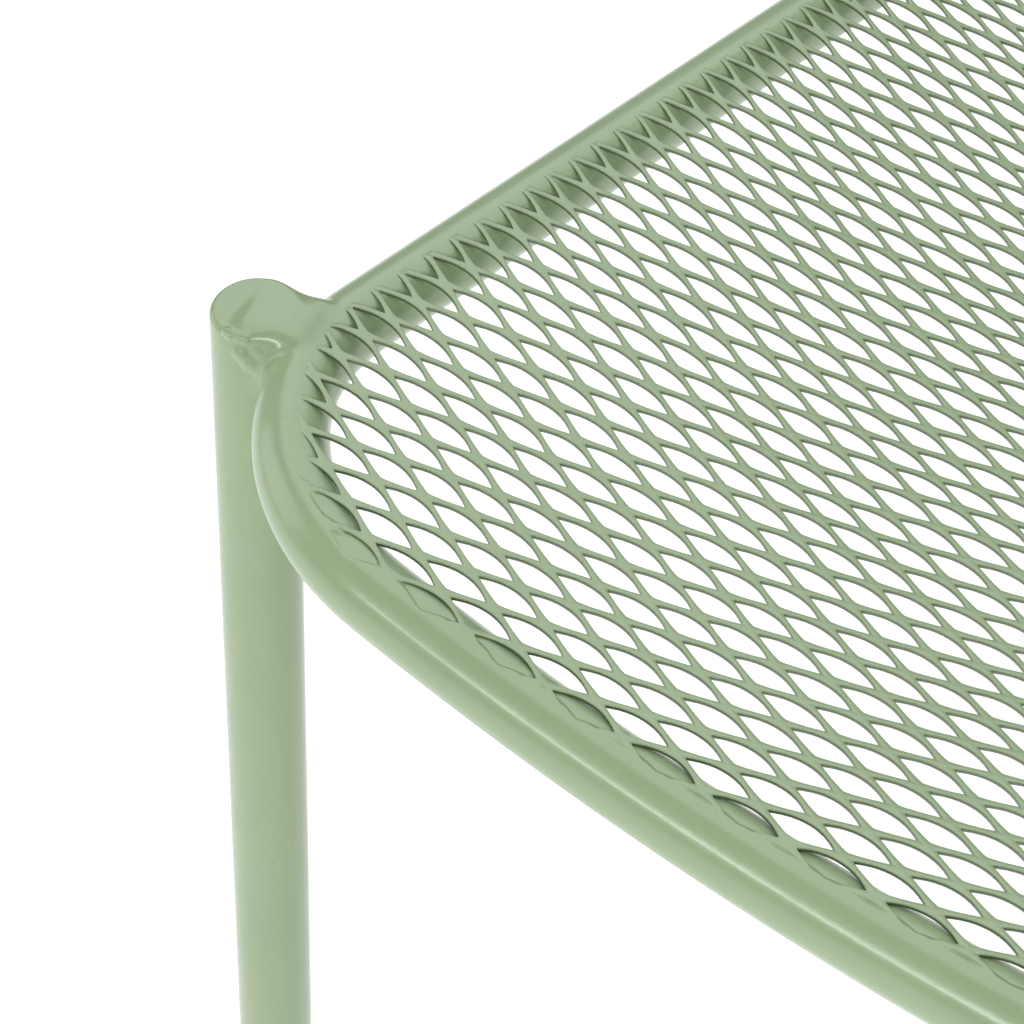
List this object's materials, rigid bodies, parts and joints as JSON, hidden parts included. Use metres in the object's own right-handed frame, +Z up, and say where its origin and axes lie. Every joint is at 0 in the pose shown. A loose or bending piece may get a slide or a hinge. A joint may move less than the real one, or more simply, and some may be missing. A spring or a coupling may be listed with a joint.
{
  "type": "stacking chair",
  "caption": "Outdoor stacking chair of bent round steel tube with a scooped expanded metal seat and back, welded and powder coated in sage green.",
  "frame": {"origin": "on the floor, at the centre of the bounding box", "axes": "+Z up, +Y towards the back of the chair, +X to the right as seen from the front"},
  "size_m": [0.469, 0.579, 0.7898],
  "materials": {
    "powder_coated_tube": "satin powder coat",
    "powder_coated_mesh": "satin powder coat",
    "glide_plastic": "fine matte"
  },
  "bodies": {
    "root": {"seat_hoop": "powder_coated_tube", "back_hoop": "powder_coated_tube", "front_leg_left": "powder_coated_tube", "front_leg_right": "powder_coated_tube", "rear_leg_left": "powder_coated_tube", "rear_leg_right": "powder_coated_tube", "front_leg_cap_left": "powder_coated_tube", "front_leg_cap_right": "powder_coated_tube", "rear_leg_cap_left": "powder_coated_tube", "rear_leg_cap_right": "powder_coated_tube", "front_weld_left": "powder_coated_tube", "front_weld_right": "powder_coated_tube", "rear_weld_left": "powder_coated_tube", "rear_weld_right": "powder_coated_tube", "back_weld_left": "powder_coated_tube", "back_weld_right": "powder_coated_tube", "seat_mesh": "powder_coated_mesh", "back_mesh": "powder_coated_mesh", "front_glide_left": "glide_plastic", "front_glide_right": "glide_plastic", "rear_glide_left": "glide_plastic", "rear_glide_right": "glide_plastic"}
  },
  "joints": []
}
